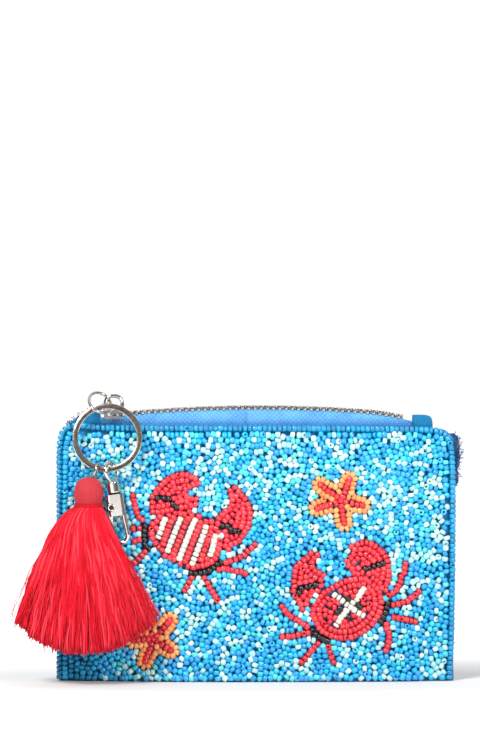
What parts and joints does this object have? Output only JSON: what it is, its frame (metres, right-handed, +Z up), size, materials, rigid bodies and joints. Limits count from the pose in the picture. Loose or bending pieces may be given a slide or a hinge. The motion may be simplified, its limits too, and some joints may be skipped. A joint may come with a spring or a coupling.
{
  "type": "coin purse",
  "caption": "Flat beaded zip pouch with crab and starfish bead pictures, hung with a key ring, a thread tassel and a swivel clasp from the zip slider.",
  "frame": {"origin": "middle of the pouch's foot, where it stands", "axes": "+Z up, +X to the right as seen from the beaded face, -Y out of the beaded face"},
  "size_m": [0.1526, 0.0326, 0.1018],
  "materials": {
    "beads_turquoise": "glossy opaque glass seed beads, turquoise and sky blue",
    "beads_border": "glossy opaque glass seed beads, deep turquoise",
    "beads_coral": "glossy opaque glass seed beads, coral red",
    "beads_orange": "glossy opaque glass seed beads, orange",
    "canvas": "woven cotton canvas",
    "canvas_back": "woven cotton canvas",
    "seam": "navy bound seam with raw threads",
    "lining": "smooth lining cloth",
    "zip_tape": "woven herringbone zip tape",
    "zip_tab": "folded felted cloth",
    "zip_metal": "bright nickel plate",
    "hardware": "polished nickel plate",
    "key_ring": "polished nickel plate",
    "tassel": "loose coral red rayon threads",
    "tassel_cap": "coral red thread folded and bound"
  },
  "bodies": {
    "pouch": {"base_gusset": "canvas", "front_panel": "canvas", "back_panel": "canvas_back", "lining_bag": "lining", "left_side_seam": "seam", "right_side_seam": "seam", "bead_field": "beads_turquoise", "bead_border_top": "beads_border", "bead_border_left": "beads_border", "bead_border_right": "beads_border", "crab_striped": "beads_coral", "crab_crossed": "beads_coral", "starfish_upper": "beads_orange", "starfish_lower": "beads_orange", "zip_end_tab_left": "zip_tab", "zip_end_tab_right": "zip_tab", "zip_top_stops": "zip_metal", "zip_bottom_stop": "zip_metal"},
    "zip_front": {"zip_tape_front": "zip_tape", "zip_teeth_front": "zip_metal"},
    "zip_back": {"zip_tape_back": "zip_tape", "zip_teeth_back": "zip_metal"},
    "slider": {"slider_body": "zip_metal", "slider_crown": "zip_metal"},
    "link": {"pull_link": "hardware"},
    "ring": {"key_ring": "key_ring"},
    "jump": {"tassel_jump_ring": "hardware"},
    "tassel": {"tassel_head": "tassel_cap", "tassel_neck_wrap": "tassel_cap", "tassel_skirt": "tassel"},
    "eye": {"clasp_eye": "hardware"},
    "clasp": {"clasp_body": "hardware", "clasp_rivet": "hardware"},
    "gate": {"clasp_gate": "hardware"}
  },
  "joints": [
    {"name": "slider_travel", "type": "slide", "parent": "pouch", "child": "slider", "axis": [1, 0, 0], "range_m": [0, 0.0965]},
    {"name": "mouth_front", "type": "hinge", "parent": "pouch", "child": "zip_front", "pos_m": [0, -0.0036, 0.08875], "axis": [1, 0, 0], "range_deg": [0, 26], "deforming": ["zip_tape_front", "zip_teeth_front"]},
    {"name": "mouth_back", "type": "hinge", "parent": "pouch", "child": "zip_back", "pos_m": [0, 0.0036, 0.08875], "axis": [1, 0, 0], "range_deg": [-26, 0], "deforming": ["zip_tape_back", "zip_teeth_back"]},
    {"name": "link_swing", "type": "hinge", "parent": "slider", "child": "link", "pos_m": [-0.0506, 0, 0.1003], "axis": [-1, 0, 0], "range_deg": [0, 30]},
    {"name": "ring_swing", "type": "hinge", "parent": "link", "child": "ring", "pos_m": [-0.0555, -0.0066, 0.0962], "axis": [-1, 0, 0], "range_deg": [0, 30]},
    {"name": "jump_swing", "type": "hinge", "parent": "ring", "child": "jump", "pos_m": [-0.05598, -0.01103, 0.07513], "axis": [-0.9511, 0.0642, 0.3023], "range_deg": [0, 30]},
    {"name": "tassel_swing", "type": "hinge", "parent": "jump", "child": "tassel", "pos_m": [-0.05727, -0.01185, 0.07123], "axis": [0, 1, 0], "range_deg": [0, 12]},
    {"name": "eye_swing", "type": "hinge", "parent": "ring", "child": "eye", "pos_m": [-0.05093, -0.01112, 0.0747], "axis": [0, -1, 0], "range_deg": [0, 10]},
    {"name": "clasp_swivel", "type": "hinge", "parent": "eye", "child": "clasp", "pos_m": [-0.051, -0.0111, 0.0738], "axis": [0.1392, 0, -0.9903], "continuous": true},
    {"name": "gate_press", "type": "hinge", "parent": "clasp", "child": "gate", "pos_m": [-0.05096, -0.0111, 0.06128], "axis": [0, -1, 0], "range_deg": [0, 18], "stiffness_Nm_per_rad": 0.004, "springref_deg": -17.19}
  ],
  "couplings": [
    {"joint": "mouth_front", "follows": "slider_travel", "rad_per_m": 4.702},
    {"joint": "mouth_back", "follows": "slider_travel", "rad_per_m": -4.702}
  ]
}
